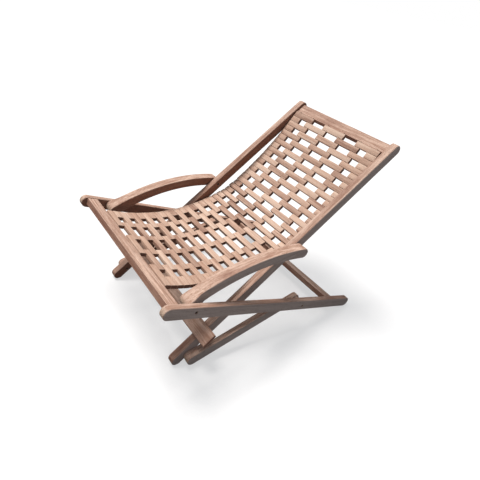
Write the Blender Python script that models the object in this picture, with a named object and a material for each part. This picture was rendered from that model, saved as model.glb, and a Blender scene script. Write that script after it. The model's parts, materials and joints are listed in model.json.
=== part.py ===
"""Folding deck chair with a slatted sling.

Metres, +Z up.  +X runs from the foot end to the head end, and +Y is the
sitter's right.  The origin is on the floor, under the middle of the open
chair's length and width.  The chair stands open on its feet.
"""

import math

import bmesh
import bpy
from mathutils import Matrix, Vector

# ---- driving dimensions ------------------------------------------------

GAP = 0.0003                      # clearance between touching pieces

# layers across the chair, as distances from the middle plane
SLING_HALF = 0.2200
STILE_INNER, STILE_OUTER = 0.2270, 0.2538
RAIL_INNER, RAIL_OUTER = 0.3019, 0.3240
ARM_INNER, ARM_OUTER = STILE_OUTER + 0.001, 0.2930
TIE_INNER, TIE_OUTER = 0.2644, 0.2844

# pivots in the side plane (x, z)
PIVOT_ARM_RAIL = Vector((-0.3666, 0.296))
PIVOT_TIE_RAIL = Vector((0.0964, 0.119))
PIVOT_ARM_STILE = Vector((0.0594, 0.346))
PIVOT_TIE_STILE = Vector((-0.3346, 0.036))

# back stiles, seat rails, tie bars and arms, seen from the side
STILE_RADIUS = 0.01825
STILE_SLOPE = math.radians(37.44)
STILE_REACH_HEAD = 0.494          # from the arm pivot to the head end's centre
RAIL_RADIUS = 0.0198
RAIL_SLOPE = math.radians(-20.30)
RAIL_RISE = -0.0025               # rail centre line above the arm pivot
RAIL_REACH_FRONT = 0.088          # from the arm pivot to the front end's centre
TIE_RADIUS = 0.0185
TIE_FOOT = Vector((-0.3306, 0.0285))
TIE_BLOCK_LENGTH, TIE_BLOCK_RADIUS = 0.052, 0.0176
ARM_END_RADIUS, ARM_MIDDLE_RADIUS = 0.0175, 0.0160
ARM_RISE = 0.0330                 # height of the arm's arc over its chord
ARM_FLARE = 0.11                  # share of the arm that widens to the rail

# cross boards: start and end along the bar, low and high across it
HEAD_BOARD = (0.4572, 0.5000, -0.0120, 0.0080)
FOOT_BOARD = (-0.4430, -0.3910, STILE_RADIUS + GAP, STILE_RADIUS + 0.0115)
FRONT_RAIL = (-0.0910, -0.0548, -0.0055, 0.0175)
REAR_RAIL = (0.6820, 0.7240, -0.0139, 0.0071)
GROOVE_FROM_EDGE, GROOVE_WIDTH, GROOVE_DEPTH = 0.0120, 0.0024, 0.0016

# bolts, spacers and dowels
BOLT_RADIUS, BOLT_HEAD_RADIUS, BOLT_HEAD_LENGTH = 0.0030, 0.0048, 0.0035
HOLE_RADIUS, RECESS_RADIUS, RECESS_DEPTH = 0.0034, 0.0052, 0.0070
BOLT_BITE = 0.018                 # how far a bolt runs into the far piece
SPACER_RADIUS = 0.0140
DOWEL_RADIUS, DOWEL_HALF_LENGTH = 0.0040, 0.0130
EDGE_ROUND = 0.0016
FOOT_WEAR = 0.0010                # depth of the flat worn onto a round foot

# sling
ROWS = 43
PITCH = 0.0225
ROW_START = Vector((0.40807, 0.62125))
HEAD_ANGLE = 4.0906               # direction from head to front, radians
BACK_BEND, SEAT_BEND = -0.0173, -0.0355
CROOK_BEND, CROOK_ROW, CROOK_SPREAD = -0.1855, 20.0753, 0.7285
BLOCK_WIDTH, BLOCK_THICKNESS = 0.0216, 0.0120
MIDDLE_HALF = 0.0540              # half of the middle block in a row of three
OUTER_START = 0.1140              # where its outer blocks begin
INNER_BLOCK = (0.0300, 0.1405)    # the inner blocks in a row of four
TIP_START = 0.1755                # where its short end blocks begin
CORD_HALF = 0.0019
CORDS = (0.0420, 0.1260, 0.2015)
SLING_STARTS = (1, 4, 7, 10, 13, 16, 18, 20, 22, 24, 27, 29, 32, 34, 37, 39, 42)

SIDES = (("left", -1), ("right", 1))


# ---- materials ---------------------------------------------------------

def material(name, colour, roughness, metallic=0.0):
    mat = bpy.data.materials.new(name)
    mat.use_nodes = True
    shader = mat.node_tree.nodes["Principled BSDF"]
    shader.inputs["Base Color"].default_value = (*colour, 1.0)
    shader.inputs["Roughness"].default_value = roughness
    shader.inputs["Metallic"].default_value = metallic
    return mat


# ---- mesh helpers ------------------------------------------------------

def finish_object(bm, name, mat, pivot=Vector((0.0, 0.0))):
    """Turn a bmesh in world space into an object whose origin is on its pivot."""
    bmesh.ops.remove_doubles(bm, verts=bm.verts, dist=1e-6)
    bmesh.ops.recalc_face_normals(bm, faces=bm.faces)
    origin = Vector((pivot.x, 0.0, pivot.y))
    bmesh.ops.translate(bm, verts=bm.verts, vec=-origin)
    mesh = bpy.data.meshes.new(name)
    bm.to_mesh(mesh)
    bm.free()
    mesh.materials.append(mat)
    obj = bpy.data.objects.new(name, mesh)
    obj.location = origin
    bpy.context.collection.objects.link(obj)
    bpy.context.view_layer.update()
    return obj


def apply_modifiers(obj):
    """Replace the object's mesh with its evaluated mesh."""
    graph = bpy.context.evaluated_depsgraph_get()
    mesh = bpy.data.meshes.new_from_object(obj.evaluated_get(graph))
    obj.modifiers.clear()
    obj.data = mesh


def round_edges(obj, width=EDGE_ROUND):
    bevel = obj.modifiers.new("round edges", "BEVEL")
    bevel.width = width
    bevel.segments = 1
    bevel.limit_method = "ANGLE"
    bevel.angle_limit = math.radians(50)
    apply_modifiers(obj)


def shade(obj):
    obj.data.shade_smooth()
    obj.data.set_sharp_from_angle(angle=math.radians(35))


def cylinder(bm, centre, axis, radius, length, sides=16):
    """Add a closed cylinder centred on a point, along any axis."""
    turn = Vector((0, 0, 1)).rotation_difference(axis).to_matrix().to_4x4()
    bmesh.ops.create_cone(
        bm, cap_ends=True, segments=sides, radius1=radius, radius2=radius,
        depth=length, matrix=Matrix.Translation(centre) @ turn)


def drill(obj, holes):
    """Cut cylinders (centre, axis, radius, length) out of an object."""
    bm = bmesh.new()
    for centre, axis, radius, length in holes:
        cylinder(bm, centre, axis, radius, length)
    cutter = finish_object(bm, obj.name + "_cutter", obj.data.materials[0])
    cut = obj.modifiers.new("holes", "BOOLEAN")
    cut.operation = "DIFFERENCE"
    cut.object = cutter
    apply_modifiers(obj)
    bpy.data.objects.remove(cutter, do_unlink=True)


def hole_across(pivot, side, near, far, radius):
    """A hole along Y between two distances from the middle plane."""
    middle = side * (near + far) / 2
    return Vector((pivot.x, middle, pivot.y)), Vector((0, 1, 0)), radius, abs(far - near)


def slab(bm, outline, low_y, high_y):
    """Extrude a closed side-plane outline between two widths."""
    low = [bm.verts.new((p.x, low_y, p.y)) for p in outline]
    high = [bm.verts.new((p.x, high_y, p.y)) for p in outline]
    bm.faces.new(low)
    bm.faces.new(reversed(high))
    for i in range(len(outline)):
        j = (i + 1) % len(outline)
        bm.faces.new((low[j], low[i], high[i], high[j]))


def bar_outline(start, end, radius, steps=8):
    """Outline of a straight bar with round ends, centred on two points, cut off at the floor."""
    along = (end - start).normalized()
    across = Vector((-along.y, along.x))
    points = []
    for centre, sense in ((start, 1), (end, -1)):
        for i in range(steps + 1):
            turn = math.pi * i / steps
            point = centre + sense * radius * (across * math.cos(turn) - along * math.sin(turn))
            points.append(Vector((point.x, max(point.y, 0.0))))
    return points


# ---- side-plane frames -------------------------------------------------

def frame_point(origin, slope, along, across):
    """Point at a distance along and across a sloping bar."""
    direction = Vector((math.cos(slope), math.sin(slope)))
    normal = Vector((-math.sin(slope), math.cos(slope)))
    return origin + direction * along + normal * across


def on_stile(along, across=0.0):
    return frame_point(PIVOT_ARM_STILE, STILE_SLOPE, along, across)


def on_rail(along, across=0.0):
    return frame_point(PIVOT_ARM_RAIL, RAIL_SLOPE, along, across + RAIL_RISE)


def down_to_floor(start, slope, radius):
    """Centre of the round end that stands on the floor, along a bar's centre line."""
    height = radius - FOOT_WEAR
    return Vector((start.x - (start.y - height) / math.tan(slope), height))


# ---- frame pieces ------------------------------------------------------

def back_stile(name, side, mat):
    foot = down_to_floor(PIVOT_ARM_STILE, STILE_SLOPE, STILE_RADIUS)
    head = on_stile(STILE_REACH_HEAD)
    bm = bmesh.new()
    slab(bm, bar_outline(foot, head, STILE_RADIUS, 16), side * STILE_INNER, side * STILE_OUTER)
    obj = finish_object(bm, name, mat)
    round_edges(obj)
    holes = []
    for pivot in (PIVOT_ARM_STILE, PIVOT_TIE_STILE):
        holes.append(hole_across(pivot, side, STILE_INNER - 0.001, STILE_OUTER + 0.001, HOLE_RADIUS))
        holes.append(hole_across(pivot, side, STILE_INNER - 0.001,
                                 STILE_INNER + RECESS_DEPTH, RECESS_RADIUS))
    for place in head_dowel_places(side) + foot_dowel_places(side):
        holes.append(dowel_hole(place))
    for hole in holes:
        drill(obj, [hole])
    shade(obj)
    return obj


def seat_rail(name, side, mat):
    front = on_rail(-RAIL_REACH_FRONT)
    rear = down_to_floor(on_rail(0.0), RAIL_SLOPE, RAIL_RADIUS)
    bm = bmesh.new()
    slab(bm, bar_outline(front, rear, RAIL_RADIUS, 16), side * RAIL_INNER, side * RAIL_OUTER)
    obj = finish_object(bm, name, mat, PIVOT_ARM_RAIL)
    round_edges(obj)
    holes = []
    for pivot in (PIVOT_ARM_RAIL, PIVOT_TIE_RAIL):
        holes.append(hole_across(pivot, side, RAIL_INNER - 0.001, RAIL_OUTER + 0.001, HOLE_RADIUS))
        holes.append(hole_across(pivot, side, RAIL_OUTER - RECESS_DEPTH,
                                 RAIL_OUTER + 0.001, RECESS_RADIUS))
    for place in front_dowel_places(side) + rear_dowel_places(side):
        holes.append(dowel_hole(place))
    for hole in holes:
        drill(obj, [hole])
    shade(obj)
    return obj


def arm(name, side, mat):
    """Curved armrest: an arc from the rail pivot to the stile pivot, flared at the rail."""
    chord = PIVOT_ARM_STILE - PIVOT_ARM_RAIL
    radius = (chord.length_squared / 4 + ARM_RISE ** 2) / (2 * ARM_RISE)
    across = Vector((-chord.y, chord.x)).normalized()
    centre = PIVOT_ARM_RAIL + chord / 2 + across * (ARM_RISE - radius)
    start = PIVOT_ARM_RAIL - centre
    sweep = -2 * math.asin(chord.length / (2 * radius))

    stations = []
    end_steps, body_steps = 6, 22
    for i in range(end_steps):
        turn = math.radians(12) + math.radians(78) * i / end_steps
        stations.append((0.0, -ARM_END_RADIUS * math.cos(turn), ARM_END_RADIUS * math.sin(turn)))
    for i in range(body_steps + 1):
        share = i / body_steps
        swell = ARM_END_RADIUS + (ARM_MIDDLE_RADIUS - ARM_END_RADIUS) * math.sin(math.pi * share)
        stations.append((share, 0.0, swell))
    for i in reversed(range(end_steps)):
        turn = math.radians(12) + math.radians(78) * i / end_steps
        stations.append((1.0, ARM_END_RADIUS * math.cos(turn), ARM_END_RADIUS * math.sin(turn)))

    bm = bmesh.new()
    rings = []
    for share, ahead, half in stations:
        spoke = Matrix.Rotation(sweep * share, 2) @ start
        outward = spoke.normalized()
        along = Vector((outward.y, -outward.x))
        middle = centre + spoke + along * ahead
        flare = max(0.0, 1.0 - share / ARM_FLARE)
        flare = flare * flare * (3.0 - 2.0 * flare)
        outer = ARM_OUTER + (RAIL_INNER - 0.0005 - ARM_OUTER) * flare
        top, low = middle + outward * half, middle - outward * half
        rings.append([bm.verts.new((p.x, side * y, p.y)) for p, y in
                      ((top, ARM_INNER), (top, outer), (low, outer), (low, ARM_INNER))])
    for a, b in zip(rings, rings[1:]):
        for i in range(4):
            j = (i + 1) % 4
            bm.faces.new((a[i], a[j], b[j], b[i]))
    bm.faces.new(rings[0])
    bm.faces.new(rings[-1])
    obj = finish_object(bm, name, mat, PIVOT_ARM_STILE)
    round_edges(obj)
    bite = BOLT_BITE + 0.002
    for hole in (hole_across(PIVOT_ARM_RAIL, side, RAIL_INNER - bite, RAIL_INNER, HOLE_RADIUS),
                 hole_across(PIVOT_ARM_STILE, side, STILE_OUTER, STILE_OUTER + bite, HOLE_RADIUS)):
        drill(obj, [hole])
    shade(obj)
    return obj


def tie_bar(name, side, mat):
    """Lower bar, thicker at the foot where it lies against the stile."""
    along = (PIVOT_TIE_RAIL - TIE_FOOT).normalized()
    bm = bmesh.new()
    slab(bm, bar_outline(TIE_FOOT, PIVOT_TIE_RAIL, TIE_RADIUS), side * TIE_INNER, side * TIE_OUTER)
    obj = finish_object(bm, name, mat, PIVOT_TIE_STILE)
    round_edges(obj, 0.0012)
    block = bmesh.new()
    slab(block, bar_outline(TIE_FOOT, TIE_FOOT + along * TIE_BLOCK_LENGTH, TIE_BLOCK_RADIUS),
         side * (STILE_OUTER + 0.0007), side * (TIE_INNER + 0.006))
    helper = finish_object(block, name + "_block", mat)
    round_edges(helper, 0.0012)
    union = obj.modifiers.new("foot block", "BOOLEAN")
    union.operation = "UNION"
    union.object = helper
    apply_modifiers(obj)
    bpy.data.objects.remove(helper, do_unlink=True)
    drill(obj, [hole_across(PIVOT_TIE_STILE, side, STILE_OUTER - 0.001,
                            STILE_OUTER + BOLT_BITE + 0.002, HOLE_RADIUS)])
    shade(obj)
    return obj


def cross_board(name, mat, place, extent, half_width, dowel_places, groove=False):
    """Board between the two sides, given in a sloping bar's own directions."""
    start, end, low, high = extent
    outline = [place(start, low), place(end, low), place(end, high)]
    if groove:
        near, far = start + GROOVE_FROM_EDGE + GROOVE_WIDTH, start + GROOVE_FROM_EDGE
        outline += [place(near, high), place(near, high - GROOVE_DEPTH),
                    place(far, high - GROOVE_DEPTH), place(far, high)]
    outline.append(place(start, high))
    bm = bmesh.new()
    slab(bm, outline, -half_width, half_width)
    obj = finish_object(bm, name, mat)
    round_edges(obj, 0.0008 if groove else EDGE_ROUND)
    for spot in dowel_places:
        drill(obj, [dowel_hole(spot)])
    shade(obj)
    return obj


# ---- fasteners ---------------------------------------------------------

def dowels_across(place, along_pair, across, joint_y):
    axis = Vector((0, 1, 0))
    spots = []
    for along in along_pair:
        p = place(along, across)
        spots.append((Vector((p.x, joint_y, p.y)), axis))
    return spots


def head_dowel_places(side):
    return dowels_across(on_stile, (0.467, 0.486), -0.002, side * STILE_INNER)


def front_dowel_places(side):
    return dowels_across(on_rail, (-0.081, -0.064), 0.005, side * RAIL_INNER)


def rear_dowel_places(side):
    return dowels_across(on_rail, (0.693, 0.713), -0.003, side * RAIL_INNER)


def foot_dowel_places(side):
    """Dowels from the stile's front face into the foot board."""
    normal = Vector((-math.sin(STILE_SLOPE), 0, math.cos(STILE_SLOPE)))
    spots = []
    for along in (-0.430, -0.404):
        p = on_stile(along, STILE_RADIUS - 0.005)
        spots.append((Vector((p.x, side * (STILE_INNER + STILE_OUTER) / 2, p.y)), normal))
    return spots


def dowel_hole(place):
    centre, axis = place
    return centre, axis, DOWEL_RADIUS + GAP, 2 * (DOWEL_HALF_LENGTH + 0.001)


def dowel_set(name, mat, place_function):
    """Dowels of one board: two at each side."""
    for word, side in SIDES:
        for number, (centre, axis) in enumerate(place_function(side), start=1):
            bm = bmesh.new()
            cylinder(bm, centre, axis, DOWEL_RADIUS, 2 * DOWEL_HALF_LENGTH, sides=12)
            shade(finish_object(bm, f"{name}_{word}_{number}", mat))


def ring_of(bm, pivot, y, radius, sides):
    points = []
    for i in range(sides):
        turn = 2 * math.pi * i / sides
        points.append(bm.verts.new((pivot.x + radius * math.cos(turn), y,
                                    pivot.y + radius * math.sin(turn))))
    return points


def join_rings(bm, a, b):
    for i in range(len(a)):
        j = (i + 1) % len(a)
        bm.faces.new((a[i], a[j], b[j], b[i]))


def pivot_bolt(name, side, mat, pivot, head_y, tip_y):
    """Bolt from its recessed head to its tip, at distances from the middle plane."""
    inward = 1 if tip_y > head_y else -1
    neck = head_y + inward * BOLT_HEAD_LENGTH
    bm = bmesh.new()
    rings = [ring_of(bm, pivot, side * y, radius, 16) for y, radius in
             ((head_y, BOLT_HEAD_RADIUS), (neck, BOLT_HEAD_RADIUS),
              (neck, BOLT_RADIUS), (tip_y, BOLT_RADIUS))]
    for a, b in zip(rings, rings[1:]):
        join_rings(bm, a, b)
    bm.faces.new(rings[0])
    bm.faces.new(rings[-1])
    shade(finish_object(bm, name, mat, pivot))


def pivot_spacer(name, side, mat, pivot):
    """Wooden ring that holds the tie bar clear of the seat rail."""
    low, high = TIE_OUTER + GAP, RAIL_INNER - GAP
    bm = bmesh.new()
    rings = [ring_of(bm, pivot, side * y, radius, 24) for y, radius in
             ((low, SPACER_RADIUS), (high, SPACER_RADIUS), (high, HOLE_RADIUS), (low, HOLE_RADIUS))]
    for k in range(4):
        join_rings(bm, rings[k], rings[(k + 1) % 4])
    shade(finish_object(bm, name, mat, pivot))


# ---- sling -------------------------------------------------------------

def row_angle(row):
    """Direction of the sling at a row, seen from the side, from head to front."""
    crook = 1 / (1 + math.exp(-(row - CROOK_ROW) / CROOK_SPREAD))
    return (HEAD_ANGLE + BACK_BEND * min(row, CROOK_ROW)
            + SEAT_BEND * max(row - CROOK_ROW, 0.0) + CROOK_BEND * crook)


def heading(angle):
    return Vector((math.cos(angle), math.sin(angle)))


def sling_path():
    """Row centres, and the seams before and after each row."""
    centres, seams = [], [ROW_START - heading(row_angle(1)) * PITCH / 2]
    for row in range(1, ROWS + 1):
        step = heading(row_angle(row)) * PITCH / 2
        centres.append(seams[-1] + step)
        seams.append(seams[-1] + 2 * step)
    return centres, seams


def row_blocks(row):
    """Widths (low, high) of a row's blocks: three to an odd row, four to an even one."""
    if row % 2:
        return ((-SLING_HALF, -OUTER_START), (-MIDDLE_HALF, MIDDLE_HALF), (OUTER_START, SLING_HALF))
    start, end = INNER_BLOCK
    return ((-SLING_HALF, -TIP_START), (-end, -start), (start, end), (TIP_START, SLING_HALF))


def slat_blocks(bm, row, centre):
    """The separate blocks of one row."""
    along, half = heading(row_angle(row)), BLOCK_THICKNESS / 2
    across = Vector((-along.y, along.x))
    for low, high in row_blocks(row):
        outline = [centre + along * a * BLOCK_WIDTH / 2 + across * b * half
                   for a, b in ((-1, -1), (1, -1), (1, 1), (-1, 1))]
        slab(bm, outline, low, high)


def sling_cords(bm, first, last, centres, seams):
    """Six cords from the first row's middle to the last row's, bending at the seams."""
    stops = [(centres[first - 1], heading(row_angle(first)))]
    for seam in range(first, last):
        bend = (heading(row_angle(seam)) + heading(row_angle(seam + 1))).normalized()
        stops.append((seams[seam], bend))
    stops.append((centres[last - 1], heading(row_angle(last))))
    for line in [sign * y for y in CORDS for sign in (-1, 1)]:
        rings = []
        for point, along in stops:
            across = Vector((-along.y, along.x)) * CORD_HALF
            corners = ((-1, -1), (1, -1), (1, 1), (-1, 1))
            rings.append([bm.verts.new((point.x + across.x * z, line + y * CORD_HALF,
                                        point.y + across.y * z)) for y, z in corners])
        for a, b in zip(rings, rings[1:]):
            join_rings(bm, a, b)
        bm.faces.new(rings[0])
        bm.faces.new(rings[-1])


def sling_panel(name, mat, first, last, centres, seams):
    """Rows of slat blocks held together by their cords, as one solid."""
    blocks = bmesh.new()
    for row in range(first, last + 1):
        slat_blocks(blocks, row, centres[row - 1])
    obj = finish_object(blocks, name, mat)
    cords = bmesh.new()
    sling_cords(cords, first, last, centres, seams)
    helper = finish_object(cords, name + "_cords", mat)
    union = obj.modifiers.new("cords", "BOOLEAN")
    union.operation = "UNION"
    union.object = helper
    apply_modifiers(obj)
    bpy.data.objects.remove(helper, do_unlink=True)


# ---- assembly ----------------------------------------------------------

def build():
    for obj in list(bpy.data.objects):
        bpy.data.objects.remove(obj, do_unlink=True)

    frame_wood = material("frame wood", (0.50, 0.33, 0.22), 0.60)
    slat_wood = material("slat wood", (0.60, 0.42, 0.30), 0.62)
    steel = material("steel", (0.42, 0.40, 0.38), 0.40, 1.0)

    for word, side in SIDES:
        back_stile("stile_" + word, side, frame_wood)
        seat_rail("seat_rail_" + word, side, frame_wood)
        arm("arm_" + word, side, frame_wood)
        tie_bar("tie_bar_" + word, side, frame_wood)

    def both(places):
        return places(-1) + places(1)

    cross_board("head_board", frame_wood, on_stile, HEAD_BOARD, STILE_INNER - GAP,
                both(head_dowel_places))
    cross_board("foot_board", frame_wood, on_stile, FOOT_BOARD, RAIL_INNER - 0.001,
                both(foot_dowel_places))
    cross_board("front_rail", frame_wood, on_rail, FRONT_RAIL, RAIL_INNER - GAP,
                both(front_dowel_places), groove=True)
    cross_board("rear_cross_rail", frame_wood, on_rail, REAR_RAIL, RAIL_INNER - GAP,
                both(rear_dowel_places))
    dowel_set("head_board_dowel", slat_wood, head_dowel_places)
    dowel_set("foot_board_dowel", slat_wood, foot_dowel_places)
    dowel_set("front_rail_dowel", slat_wood, front_dowel_places)
    dowel_set("rear_rail_dowel", slat_wood, rear_dowel_places)

    rail_head = RAIL_OUTER - RECESS_DEPTH + BOLT_HEAD_LENGTH + GAP
    stile_head = STILE_INNER + RECESS_DEPTH - BOLT_HEAD_LENGTH - GAP
    in_arm, in_block = RAIL_INNER - BOLT_BITE, STILE_OUTER + BOLT_BITE
    for word, side in SIDES:
        for name, pivot, head_y, tip_y in (
                ("front_pivot_bolt", PIVOT_ARM_RAIL, rail_head, in_arm),
                ("rear_pivot_bolt", PIVOT_TIE_RAIL, rail_head, TIE_OUTER + 2 * GAP),
                ("arm_pivot_bolt", PIVOT_ARM_STILE, stile_head, in_block),
                ("foot_pivot_bolt", PIVOT_TIE_STILE, stile_head, in_block)):
            pivot_bolt(f"{name}_{word}", side, steel, pivot, head_y, tip_y)
        pivot_spacer("pivot_spacer_" + word, side, frame_wood, PIVOT_TIE_RAIL)

    centres, seams = sling_path()
    for first, after in zip(SLING_STARTS, SLING_STARTS[1:] + (ROWS + 1,)):
        name = f"slats_{first:02d}_{after - 1:02d}"
        sling_panel(name, slat_wood, first, after - 1, centres, seams)


build()
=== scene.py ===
import json
import math
import random

import bmesh
import bpy
from mathutils import Matrix, Vector


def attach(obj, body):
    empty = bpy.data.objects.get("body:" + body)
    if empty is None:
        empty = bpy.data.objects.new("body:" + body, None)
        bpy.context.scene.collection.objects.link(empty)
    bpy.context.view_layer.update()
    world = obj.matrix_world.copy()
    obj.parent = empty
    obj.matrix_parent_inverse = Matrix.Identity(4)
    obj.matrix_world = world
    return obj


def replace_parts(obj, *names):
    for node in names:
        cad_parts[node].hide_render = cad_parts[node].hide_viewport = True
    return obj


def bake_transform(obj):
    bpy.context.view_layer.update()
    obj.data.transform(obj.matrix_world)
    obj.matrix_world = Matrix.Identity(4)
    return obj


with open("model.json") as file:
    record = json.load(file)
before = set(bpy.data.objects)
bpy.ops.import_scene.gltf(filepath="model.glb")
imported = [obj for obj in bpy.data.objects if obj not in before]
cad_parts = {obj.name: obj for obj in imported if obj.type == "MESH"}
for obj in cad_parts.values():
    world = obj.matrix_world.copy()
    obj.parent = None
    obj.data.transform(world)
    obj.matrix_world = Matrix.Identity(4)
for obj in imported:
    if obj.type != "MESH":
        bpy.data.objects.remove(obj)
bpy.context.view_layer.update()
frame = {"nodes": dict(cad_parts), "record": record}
nodes = frame["nodes"]

# ---- shape of the sling: the CAD part's curve, in the side plane (x, z), in metres ----

ROWS, PITCH = 43, 0.0225
ROW_START = Vector((0.40807, 0.62125))
HEAD_ANGLE, BACK_BEND, SEAT_BEND = 4.0906, -0.0173, -0.0355
CROOK_BEND, CROOK_ROW, CROOK_SPREAD = -0.1855, 20.0753, 0.7285
BLOCK_WIDTH = 0.0216
BLOCK_THICKNESS = 0.0132  # 1.2 mm more than the CAD's, as the photo's hole walls look deeper
SLING_HALF, MIDDLE_HALF, OUTER_START = 0.2200, 0.0540, 0.1140
INNER_BLOCK, TIP_START = (0.0300, 0.1405), 0.1755
CORDS, CORD_RADIUS, CORD_END = (0.0420, 0.1260, 0.2015), 0.0019, 0.004
CROOK_ROWS = range(18, 24)  # the blocks here sit unevenly in the photo


def row_angle(row):
    """Direction of the sling at a row: two gentle bends with a sharp crook between them."""
    crook = 1 / (1 + math.exp(-(row - CROOK_ROW) / CROOK_SPREAD))
    return (HEAD_ANGLE + BACK_BEND * min(row, CROOK_ROW)
            + SEAT_BEND * max(row - CROOK_ROW, 0.0) + CROOK_BEND * crook)


def heading(angle):
    """Unit vector of the side plane."""
    return Vector((math.cos(angle), math.sin(angle)))


seams = [ROW_START - heading(row_angle(1)) * PITCH / 2]
centres = []
for row in range(1, ROWS + 1):
    step = heading(row_angle(row)) * PITCH / 2
    centres.append(seams[-1] + step)
    seams.append(seams[-1] + 2 * step)


def row_blocks(row):
    """Where each block of a row starts and ends across the chair."""
    if row % 2:
        middle = (-MIDDLE_HALF, MIDDLE_HALF)
        return ((-SLING_HALF, -OUTER_START), middle, (OUTER_START, SLING_HALF))
    start, end = INNER_BLOCK
    return ((-SLING_HALF, -TIP_START), (-end, -start), (start, end), (TIP_START, SLING_HALF))


# ---- node materials ----

# cool greys of painted shade lit by the sky, for the outer faces
SKY_SHADE_DARK, SKY_SHADE_PALE = (0.190, 0.153, 0.140), (0.600, 0.525, 0.490)
END_GRAIN_CREAM = (0.78, 0.64, 0.49)
EDGE_RADIUS = 0.0022  # how far from an edge its wear reaches


class Graph:
    """A material's node tree with short calls for the nodes used here."""

    def __init__(self, name):
        self.mat = bpy.data.materials.new(name)
        self.mat.use_nodes = True
        self.tree = self.mat.node_tree
        self.shader = self.tree.nodes["Principled BSDF"]

    def node(self, kind, **settings):
        made = self.tree.nodes.new("ShaderNode" + kind)
        for key, value in settings.items():
            setattr(made, key, value)
        return made

    def put(self, socket, value):
        if isinstance(value, bpy.types.NodeSocket):
            self.tree.links.new(value, socket)
        elif value is not None:
            socket.default_value = value

    def math(self, operation, a, b=None, c=None, clamp=False):
        made = self.node("Math", operation=operation, use_clamp=clamp)
        for socket, value in zip(made.inputs, (a, b, c)):
            self.put(socket, value)
        return made.outputs[0]

    def mix(self, factor, a, b, blend="MIX"):
        made = self.node("Mix", data_type="RGBA", blend_type=blend, clamp_factor=True)
        for index, value in ((0, factor), (6, a), (7, b)):
            if isinstance(value, tuple):
                value = (*value, 1.0)
            self.put(made.inputs[index], value)
        return made.outputs[2]

    def remap(self, value, low, high, to_low=0.0, to_high=1.0):
        made = self.node("MapRange", interpolation_type="SMOOTHSTEP")
        for index, v in enumerate((value, low, high, to_low, to_high)):
            self.put(made.inputs[index], v)
        return made.outputs[0]

    def scaled(self, vector, factors, offset=(0, 0, 0)):
        made = self.node("Mapping")
        self.put(made.inputs["Vector"], vector)
        made.inputs["Location"].default_value = offset
        made.inputs["Scale"].default_value = factors
        return made.outputs[0]

    def noise(self, vector, scale=1.0, detail=3.0, roughness=0.55, distortion=0.0):
        made = self.node("TexNoise")
        self.put(made.inputs["Vector"], vector)
        for key, value in (("Scale", scale), ("Detail", detail), ("Roughness", roughness),
                           ("Distortion", distortion)):
            made.inputs[key].default_value = value
        return made.outputs["Fac"]

    def attribute(self, name):
        return self.node("Attribute", attribute_name=name)

    def finish(self, colour, roughness, height, distance):
        bump = self.node("Bump")
        bump.inputs["Strength"].default_value = 0.75
        bump.inputs["Distance"].default_value = distance
        self.put(bump.inputs["Height"], height)
        self.put(self.shader.inputs["Base Color"], colour)
        self.put(self.shader.inputs["Roughness"], roughness)
        self.put(self.shader.inputs["Normal"], bump.outputs[0])
        return self.mat


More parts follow.
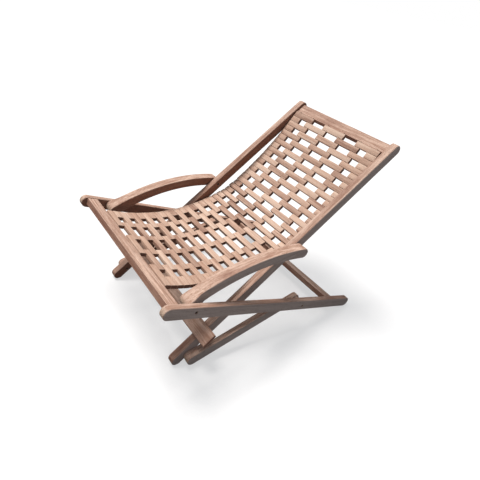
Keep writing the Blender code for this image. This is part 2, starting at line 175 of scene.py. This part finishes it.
def wood(name, turn, light, mid, dark, bleached, seed, blocks=False, bleach_and_sunlight=0.92, outward=0,
         board=False):
    """Oiled, sun-worn hardwood whose grain runs along local X after the turn, with painted light
    and shade by the way each face points.

    With blocks, the grain's place and tone come from each slat block's own attributes, and
    turn isn't used. outward is the side, -1 or 1 along Y, whose face gets a painted grey of
    sky-lit shade. board darkens the end grain as painted shade.
    """
    g = Graph(name)
    texture = g.node("TexCoord")
    normal = g.node("SeparateXYZ")
    g.put(normal.inputs[0], texture.outputs["Normal"])
    if blocks:
        place = g.attribute("grain").outputs["Vector"]
        tone = g.attribute("tone").outputs["Fac"]
        end_grain = g.remap(g.math("ABSOLUTE", normal.outputs["Y"]), 0.75, 0.95)
    else:
        made = g.node("Mapping")
        g.put(made.inputs["Vector"], texture.outputs["Object"])
        made.inputs["Rotation"].default_value = turn
        made.inputs["Location"].default_value = (seed * 0.37, seed * 0.011, 0.0)
        place = made.outputs[0]
        facing = g.node("Mapping", vector_type="NORMAL")
        g.put(facing.inputs["Vector"], texture.outputs["Normal"])
        facing.inputs["Rotation"].default_value = turn
        along = g.node("SeparateXYZ")
        g.put(along.inputs[0], facing.outputs[0])
        end_grain = g.remap(g.math("ABSOLUTE", along.outputs["X"]), 0.55, 0.95)

    # growth rings with their centre off to one side, then fibres, streaks, patches and pores
    heart = (0.0, 0.055 + seed * 0.004, -0.043)
    rings = g.node("TexWave", wave_type="RINGS", rings_direction="X", wave_profile="SAW")
    g.put(rings.inputs["Vector"], g.scaled(place, (0.10, 1.0, 1.0), heart))
    for key, value in (("Scale", 95.0), ("Distortion", 7.0), ("Detail", 3.0),
                       ("Detail Scale", 0.8), ("Detail Roughness", 0.6)):
        rings.inputs[key].default_value = value
    ring = rings.outputs["Fac"]
    fibre = g.noise(g.scaled(place, (18, 520, 520)), detail=4.0, roughness=0.65)
    streak = g.noise(g.scaled(place, (4, 95, 95)), detail=3.0, distortion=0.6)
    patch = g.noise(g.scaled(place, (5, 14, 14)), detail=4.0, roughness=0.6)
    pore = g.remap(g.noise(g.scaled(place, (70, 1300, 1300)), detail=2.0), 0.56, 0.68)

    shade = g.math("MULTIPLY_ADD", ring, 0.08, 0.09)
    shade = g.math("MULTIPLY_ADD", fibre, 0.26, shade)
    shade = g.math("MULTIPLY_ADD", streak, 0.44, shade)
    shade = g.math("MULTIPLY_ADD", patch, 0.44, shade)
    shade = g.math("SUBTRACT", shade, 0.16)
    if blocks:
        shade = g.math("ADD", shade, g.math("MULTIPLY_ADD", tone, 0.44, -0.22))
    shade = g.remap(shade, 0.20, 0.86)
    colour = g.mix(g.remap(shade, 0.0, 0.5), dark, mid)
    colour = g.mix(g.remap(shade, 0.45, 1.0), colour, light)

    # what faces up is lightened in patches: partly bleaching by sun and rain, partly painted
    # sunlight on the tops
    up = g.remap(normal.outputs["Z"], 0.15, 0.75)
    weathered_and_sunlit = g.math("MULTIPLY", up, g.remap(patch, 0.25, 0.62, 0.35, 1.0))
    lightened = mid if blocks else tuple((a + b) / 2 for a, b in zip(mid, light))
    pale = g.mix(g.remap(g.math("ADD", fibre, streak), 0.75, 1.25), lightened, bleached)
    colour = g.mix(g.math("MULTIPLY", weathered_and_sunlit, bleach_and_sunlight), colour, pale)

    # vertical sides get painted shade in a deeper colour, partly standing for wood kept out of the
    # sun; outer faces get a painted grey of shade lit by the sky
    side = g.remap(g.math("ABSOLUTE", normal.outputs["Z"]), 0.5, 0.1)
    colour = g.mix(g.math("MULTIPLY", side, 0.55), colour, g.mix(fibre, dark, mid))
    if outward:
        outer_sky_shade = g.remap(g.math("MULTIPLY", normal.outputs["Y"], float(outward)), 0.6, 0.9)
        sky_shade_grey = g.mix(g.math("MULTIPLY_ADD", streak, 0.7, g.math("MULTIPLY", fibre, 0.4)),
                     SKY_SHADE_DARK, SKY_SHADE_PALE)
        colour = g.mix(g.math("MULTIPLY", outer_sky_shade, 0.8), colour, sky_shade_grey)

    # end grain: painted shade on the blocks' end walls (darkest) and on the boards' ends; bleached
    # cream at the bar ends
    if blocks:
        end_tones_and_shade = (tuple(0.5 * v for v in dark), dark)
    else:
        end_tones_and_shade = (dark, mid) if board else (mid, END_GRAIN_CREAM)
    colour = g.mix(g.math("MULTIPLY", end_grain, 0.85), colour, g.mix(ring, *end_tones_and_shade))
    colour = g.mix(g.math("MULTIPLY", pore, 0.2 if blocks else 0.35), colour, dark)

    # worn edges, found where a rounded normal turns away from the true one
    bevel = g.node("Bevel", samples=4)
    bevel.inputs["Radius"].default_value = EDGE_RADIUS
    geometry = g.node("NewGeometry")
    product = g.node("VectorMath", operation="DOT_PRODUCT")
    g.put(product.inputs[0], bevel.outputs[0])
    g.put(product.inputs[1], geometry.outputs["Normal"])
    edge = g.remap(product.outputs["Value"], 0.99, 0.86)
    edge = g.math("MULTIPLY", edge, g.remap(patch, 0.35, 0.6, 0.25, 0.9))
    colour = g.mix(g.math("MULTIPLY", edge, 0.55), colour, bleached)

    height = g.math("MULTIPLY_ADD", fibre, 0.55, g.math("MULTIPLY", ring, 0.35))
    height = g.math("MULTIPLY_ADD", pore, -0.8, height)
    rough = g.math("MULTIPLY_ADD", streak, 0.22, 0.50)
    rough = g.math("MULTIPLY_ADD", weathered_and_sunlit, 0.12, rough)
    g.shader.inputs["Specular IOR Level"].default_value = 0.32
    return g.finish(colour, rough, height, 0.0003 if blocks else 0.0005)


def steel(name):
    """Dull, near-black bolt steel with fine marks and spots of rust."""
    g = Graph(name)
    place = g.node("TexCoord").outputs["Object"]
    rust = g.remap(g.noise(g.scaled(place, (160, 160, 160)), detail=5.0), 0.48, 0.62)
    marks = g.noise(g.scaled(place, (900, 60, 900)), detail=2.0)
    colour = g.mix(marks, (0.012, 0.011, 0.010), (0.040, 0.036, 0.033))
    colour = g.mix(rust, colour, (0.070, 0.032, 0.016))
    g.put(g.shader.inputs["Metallic"], g.math("MULTIPLY_ADD", rust, -0.5, 0.6))
    return g.finish(colour, g.math("MULTIPLY_ADD", rust, 0.4, 0.38), marks, 0.0003)


def cord_fibre(name):
    """Twisted brown cord, with diagonal bands for its strands."""
    g = Graph(name)
    place = g.node("TexCoord").outputs["Object"]
    strands = g.node("TexWave", wave_type="BANDS", bands_direction="DIAGONAL")
    g.put(strands.inputs["Vector"], place)
    for key, value in (("Scale", 130.0), ("Distortion", 1.5), ("Detail", 2.0),
                       ("Detail Scale", 3.0)):
        strands.inputs[key].default_value = value
    fuzz = g.noise(g.scaled(place, (1500, 1500, 1500)), detail=2.0)
    colour = g.mix(strands.outputs["Fac"], (0.055, 0.035, 0.024), (0.20, 0.135, 0.09))
    colour = g.mix(g.math("MULTIPLY", fuzz, 0.3), colour, (0.28, 0.20, 0.14))
    return g.finish(colour, 0.9, g.math("MULTIPLY_ADD", fuzz, 0.3, strands.outputs["Fac"]), 0.0005)


# ---- CAD nodes that stay ----

FRAME_TONES = {
    "light": (0.470, 0.300, 0.215),
    "mid": (0.290, 0.132, 0.084),
    "dark": (0.110, 0.037, 0.022),
    "bleached": (0.720, 0.520, 0.410),
}
# the CAD's pivots in the side plane, which give the bars' directions
ARM_RAIL, ARM_STILE = (-0.3666, 0.296), (0.0594, 0.346)
TIE_FOOT, TIE_RAIL = (-0.3306, 0.0285), (0.0964, 0.119)
STILE_SLOPE, RAIL_SLOPE = math.radians(37.44), math.radians(-20.30)
ALONG_Y = (0.0, 0.0, -math.pi / 2)


def turned(slope):
    """Rotation that lays the grain of a bar with this slope along X."""
    return (0.0, slope, 0.0)


def slope_between(low, high):
    return math.atan2(high[1] - low[1], high[0] - low[0])


# the grain's rotation by the start of a node's name
GRAIN_TURNS = (
    ("stile", turned(STILE_SLOPE)),
    ("seat_rail", turned(RAIL_SLOPE)),
    ("tie_bar", turned(slope_between(TIE_FOOT, TIE_RAIL))),
    ("arm", turned(slope_between(ARM_RAIL, ARM_STILE))),
    ("head_board", ALONG_Y),
    ("foot_board", ALONG_Y),
    ("front_rail", ALONG_Y),
    ("rear_cross_rail", ALONG_Y),
    ("rear_rail_dowel", ALONG_Y),
    ("pivot_spacer", ALONG_Y),
)


def dress(node, mat):
    """Give a CAD node this material alone."""
    node.data.materials.clear()
    node.data.materials.append(mat)


bolt_steel = steel("bolt_steel")
for number, name in enumerate(sorted(nodes)):
    if name.startswith("slats"):
        continue
    if "bolt" in name:
        dress(nodes[name], bolt_steel)
        continue
    turn = next(turn for start, turn in GRAIN_TURNS if name.startswith(start))
    outward = {"left": -1, "right": 1}.get(name.rsplit("_", 1)[-1], 0)
    dress(nodes[name], wood("wood_" + name, turn, seed=number, outward=outward,
                            board=turn is ALONG_Y, **FRAME_TONES))

# ---- slat blocks and cords ----

SLAT_TONES = {
    "light": (0.680, 0.490, 0.375),
    "mid": (0.500, 0.310, 0.220),
    "dark": (0.210, 0.092, 0.058),
    "bleached": (0.710, 0.540, 0.430),
}
slat_wood = wood("slat_wood", (0, 0, 0), seed=3, blocks=True, bleach_and_sunlight=0.5, **SLAT_TONES)
cord_mat = cord_fibre("cord")
body_of = {name: body for body, names in frame["record"]["behaviour"]["bodies"].items()
           for name in names}
LOOSE_TILT, LOOSE_SHIFT, LOOSE_GAP = 0.09, 0.0018, 0.0010  # radians, metres, metres
SETTLED = 0.06  # share of that looseness outside the crook
END_TRIM = 0.0008  # the most that either end of a block is cut short
SMOOTH_ANGLE = math.radians(40)
BEND_STEPS = 4  # lengths of cord on each side of a hinge


def block_mesh(bm, row, low, high, rng, grain, tone):
    """One rounded slat block, a little different from its neighbours."""
    loose = 1.0 if row in CROOK_ROWS else SETTLED
    along = heading(row_angle(row) + loose * rng.uniform(-LOOSE_TILT, LOOSE_TILT))
    across = Vector((-along.y, along.x))
    half_width = BLOCK_WIDTH / 2 - rng.uniform(0.0, 0.0002) - loose * LOOSE_GAP
    half_thick = BLOCK_THICKNESS / 2 - rng.uniform(0.0, 0.0003)
    low, high = low + rng.uniform(0.0, END_TRIM), high - rng.uniform(0.0, END_TRIM)
    centre = centres[row - 1] + across * loose * rng.uniform(-LOOSE_SHIFT, LOOSE_SHIFT)
    made = bmesh.ops.create_cube(bm, size=1.0)["verts"]
    for v in made:
        v.co = Vector((v.co.x * 2 * half_width, v.co.y * (high - low), v.co.z * 2 * half_thick))
    edges = list({e for v in made for e in v.link_edges})
    done = bmesh.ops.bevel(bm, geom=edges, offset=rng.uniform(0.0005, 0.0009), segments=2,
                           profile=0.5, affect="EDGES")
    verts = set(done["verts"]) | {v for v in made if v.is_valid}
    shift = Vector((rng.uniform(0, 9), rng.uniform(-0.03, 0.03), rng.uniform(-0.03, 0.03)))
    shade = min(max(rng.gauss(0.5, 0.24), 0.0), 1.0)
    middle = (low + high) / 2
    for v in verts:
        x, y, z = v.co
        v[grain] = (y + shift.x, x + shift.y, z + shift.z)
        v[tone] = shade
        flat = centre + along * x + across * z
        v.co = Vector((flat.x, y + middle, flat.y))


def mesh_object(bm, name, mat):
    """A new object with the bmesh as its mesh, smooth but for its sharp edges."""
    bmesh.ops.recalc_face_normals(bm, faces=bm.faces)
    mesh = bpy.data.meshes.new(name)
    bm.to_mesh(mesh)
    bm.free()
    mesh.materials.append(mat)
    mesh.shade_smooth()
    mesh.set_sharp_from_angle(angle=SMOOTH_ANGLE)
    obj = bpy.data.objects.new(name, mesh)
    bpy.context.scene.collection.objects.link(obj)
    return obj


def blocks_piece(name, first, last):
    """The blocks of some rows as one object."""
    rng = random.Random(100 + first)
    bm = bmesh.new()
    grain = bm.verts.layers.float_vector.new("grain")
    tone = bm.verts.layers.float.new("tone")
    for row in range(first, last + 1):
        for low, high in row_blocks(row):
            block_mesh(bm, row, low, high, rng, grain, tone)
    return mesh_object(bm, name, slat_wood)


def tube(bm, points, y, radius, sides=8):
    """Round cord with closed ends, through points of the side plane at one y."""
    rings = []
    for i, point in enumerate(points):
        before, after = points[max(i - 1, 0)], points[min(i + 1, len(points) - 1)]
        along = (after - before).normalized()
        across = Vector((-along.y, along.x))
        ring = []
        for k in range(sides):
            turn = 2 * math.pi * k / sides
            p = point + across * radius * math.cos(turn)
            ring.append(bm.verts.new((p.x, y + radius * math.sin(turn), p.y)))
        rings.append(ring)
    for a, b in zip(rings, rings[1:]):
        for k in range(sides):
            j = (k + 1) % sides
            bm.faces.new((a[k], a[j], b[j], b[k]))
    bm.faces.new(rings[0])
    bm.faces.new(rings[-1])


def cords_piece(name, points):
    """All six cords through the same points, as one object."""
    bm = bmesh.new()
    for y in CORDS:
        for side in (-1, 1):
            tube(bm, points, side * y, CORD_RADIUS)
    return mesh_object(bm, name, cord_mat)


def run_of(first, last):
    """Points of a cord from the middle of one row to the middle of another."""
    points = [centres[first - 1]]
    for row in range(first, last):
        points += [seams[row], centres[row]]
    return points


# each CAD panel gives way to its own blocks, which ride on the same body
panels = sorted(name for name in nodes if name.startswith("slats"))
spans = {}
for name in panels:
    first, last = (int(word) for word in name.split("_")[1:])
    body = body_of[name]
    piece = blocks_piece("slat_blocks_%02d_%02d" % (first, last), first, last)
    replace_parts(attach(piece, body), name)
    low, high = spans.get(body, (first, last))
    spans[body] = (min(low, first), max(high, last))

# one run of cords for each body, from the middle of its first row to the middle of its
# last; at the sling's two ends a cord goes CORD_END past the last block
for body, (first, last) in spans.items():
    points = run_of(first, last)
    if first == 1:
        points = [seams[0] - heading(row_angle(1)) * CORD_END] + points
    if last == ROWS:
        points = points + [seams[ROWS] + heading(row_angle(ROWS)) * CORD_END]
    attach(cords_piece("cords_" + body, points), body)

# between bodies, short cords that bend across the hinge, baked in place and attached to neither
# body
chain = sorted(spans, key=lambda body: spans[body][0])
for a, b in zip(chain, chain[1:]):
    row = spans[a][1]
    start, end = centres[row - 1], centres[row]
    stops = [start.lerp(seams[row], step / BEND_STEPS) for step in range(BEND_STEPS + 1)]
    stops += [seams[row].lerp(end, step / BEND_STEPS) for step in range(1, BEND_STEPS + 1)]
    piece = cords_piece("cord_bends_%02d" % row, stops)
    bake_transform(piece)

# ---- floor, light and camera ----

FLOOR_HALF, FLOOR_DROP = 30.0, 0.0006  # the drop keeps it off the feet's lowest faces
FLOOR_BOUNCE, FLOOR_SEEN, FLOOR_GLOW = (0.26, 0.25, 0.24), (0.42, 0.42, 0.42), 0.55
SKY_LIGHT, SKY_SEEN = (0.31, 0.33, 0.36, 1.0), (1.0, 1.0, 1.0, 1.0)
SUN_POWER, SUN_ANGLE, SUN_COLOUR = 3.7, math.radians(24), (1.0, 0.965, 0.935)
SUN_DIRECTION = Vector((0.15, -0.50, -1.3))
CAMERA_PLACE = Vector((-0.83164, -0.96960, 1.08581))
CAMERA_RIGHT, CAMERA_UP = Vector((0.80161, -0.57894, 0.14918)), Vector((0.22850, 0.52726, 0.81840))
CAMERA_LENS, CAMERA_SENSOR = 30.006, 36.0  # mm


def make_floor():
    """A floor that the camera sees near white, while it throws little light back up."""
    bm = bmesh.new()
    bmesh.ops.create_grid(bm, x_segments=1, y_segments=1, size=FLOOR_HALF,
                          matrix=Matrix.Translation((0, 0, -FLOOR_DROP)))
    g = Graph("floor")
    seen = g.node("LightPath").outputs["Is Camera Ray"]
    g.put(g.shader.inputs["Base Color"], g.mix(seen, FLOOR_BOUNCE, FLOOR_SEEN))
    g.shader.inputs["Emission Color"].default_value = (1.0, 1.0, 1.0, 1.0)
    g.put(g.shader.inputs["Emission Strength"], g.math("MULTIPLY", seen, FLOOR_GLOW))
    g.shader.inputs["Roughness"].default_value = 0.95
    g.shader.inputs["Specular IOR Level"].default_value = 0.0
    mesh_object(bm, "floor", g.mat)


def make_world():
    """A sky that is white to the camera and softer and cooler as a light."""
    world = bpy.data.worlds.new("studio")
    world.use_nodes = True
    tree = world.node_tree
    seen = tree.nodes.new("ShaderNodeLightPath").outputs["Is Camera Ray"]
    choice = tree.nodes.new("ShaderNodeMix")
    choice.data_type = "RGBA"
    choice.inputs[6].default_value = SKY_LIGHT
    choice.inputs[7].default_value = SKY_SEEN
    tree.links.new(seen, choice.inputs[0])
    tree.links.new(choice.outputs[2], tree.nodes["Background"].inputs["Color"])
    return world


def make_sun():
    data = bpy.data.lights.new("key", "SUN")
    data.energy, data.angle, data.color = SUN_POWER, SUN_ANGLE, SUN_COLOUR
    sun = bpy.data.objects.new("key", data)
    sun.rotation_mode = "QUATERNION"
    sun.rotation_quaternion = SUN_DIRECTION.to_track_quat("-Z", "Y")
    return sun


def make_camera():
    data = bpy.data.cameras.new("camera")
    data.sensor_width = CAMERA_SENSOR
    data.lens = CAMERA_LENS
    camera = bpy.data.objects.new("camera", data)
    back = CAMERA_RIGHT.cross(CAMERA_UP).normalized()
    up = back.cross(CAMERA_RIGHT).normalized()
    turn_and_place = Matrix((CAMERA_RIGHT, up, back)).transposed().to_4x4()
    turn_and_place.translation = CAMERA_PLACE
    camera.matrix_world = turn_and_place
    return camera


make_floor()
scene = bpy.context.scene
scene.view_settings.view_transform = "Standard"
scene.world = make_world()
scene.collection.objects.link(make_sun())
scene.camera = make_camera()
scene.collection.objects.link(scene.camera)
